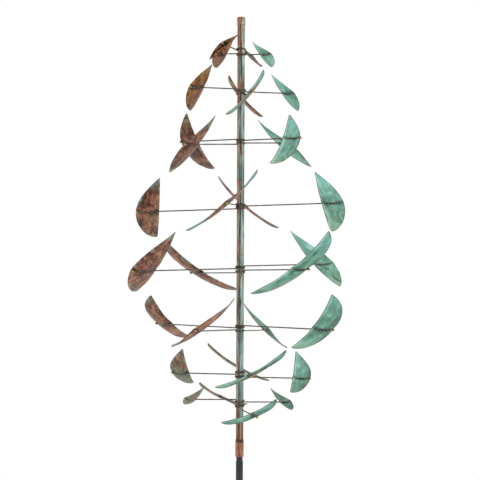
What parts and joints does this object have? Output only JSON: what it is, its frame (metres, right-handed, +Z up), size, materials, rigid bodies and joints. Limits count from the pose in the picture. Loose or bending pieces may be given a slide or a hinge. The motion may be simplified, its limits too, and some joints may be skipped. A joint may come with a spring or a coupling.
{
  "type": "wind spinner",
  "caption": "Kinetic wind spinner: crossed wire arms carry dished, pitched half-moon copper vanes round a copper tube that turns on a spindle standing in a black pole.",
  "frame": {"origin": "centre of the pole's foot, on the spin axis", "axes": "+Z up along the spin axis, +X to the right seen from the front, +Y to the back"},
  "size_m": [0.6337, 0.723, 2.014],
  "materials": {
    "black_pole": "satin black paint",
    "spacer": "black, satin",
    "steel": "turned steel",
    "bearing_steel": "polished",
    "cage_brass": "pressed",
    "tube_copper": "weathered copper, brown with green streaks",
    "fitting_copper": "brown copper, lightly tarnished",
    "bush_bronze": "sintered bronze",
    "rod_wire": "dark brown weathered wire",
    "vane_copper": "verdigris green inside, mottled brown copper outside",
    "bead_brass": "bright brass"
  },
  "bodies": {
    "mast": {"mast_pole": "black_pole", "spindle": "steel", "spacer_collar": "spacer", "top_bearing_inner_ring": "bearing_steel"},
    "rotor": {"rotor_tube": "tube_copper", "top_cap": "fitting_copper", "bottom_coupling": "fitting_copper", "guide_bush": "bush_bronze", "top_bearing_outer_ring": "bearing_steel", "end_beads": "bead_brass", "tier_1_rod_a": "rod_wire", "tier_1_rod_b": "rod_wire", "tier_2_rod_a": "rod_wire", "tier_2_rod_b": "rod_wire", "tier_3_rod_a": "rod_wire", "tier_3_rod_b": "rod_wire", "tier_4_rod_a": "rod_wire", "tier_4_rod_b": "rod_wire", "tier_5_rod_a": "rod_wire", "tier_5_rod_b": "rod_wire", "tier_6_rod_a": "rod_wire", "tier_6_rod_b": "rod_wire", "tier_7_rod_a": "rod_wire", "tier_7_rod_b": "rod_wire", "tier_8_rod_a": "rod_wire", "tier_8_rod_b": "rod_wire", "tier_1_vane_a1": "vane_copper", "tier_1_vane_a2": "vane_copper", "tier_1_vane_b1": "vane_copper", "tier_1_vane_b2": "vane_copper", "tier_2_vane_a1": "vane_copper", "tier_2_vane_a2": "vane_copper", "tier_2_vane_b1": "vane_copper", "tier_2_vane_b2": "vane_copper", "tier_3_vane_a1": "vane_copper", "tier_3_vane_a2": "vane_copper", "tier_3_vane_b1": "vane_copper", "tier_3_vane_b2": "vane_copper", "tier_4_vane_a1": "vane_copper", "tier_4_vane_a2": "vane_copper", "tier_4_vane_b1": "vane_copper", "tier_4_vane_b2": "vane_copper", "tier_5_vane_a1": "vane_copper", "tier_5_vane_a2": "vane_copper", "tier_5_vane_b1": "vane_copper", "tier_5_vane_b2": "vane_copper", "tier_6_vane_a1": "vane_copper", "tier_6_vane_a2": "vane_copper", "tier_6_vane_b1": "vane_copper", "tier_6_vane_b2": "vane_copper", "tier_7_vane_a1": "vane_copper", "tier_7_vane_a2": "vane_copper", "tier_7_vane_b1": "vane_copper", "tier_7_vane_b2": "vane_copper", "tier_8_vane_a1": "vane_copper", "tier_8_vane_a2": "vane_copper", "tier_8_vane_b1": "vane_copper", "tier_8_vane_b2": "vane_copper", "top_bearing_balls": "bearing_steel", "top_bearing_cage": "cage_brass"}
  },
  "joints": [
    {"name": "rotor_spin", "type": "hinge", "parent": "mast", "child": "rotor", "pos_m": [0, 0, 2.0093], "axis": [0, 0, 1], "continuous": true}
  ]
}
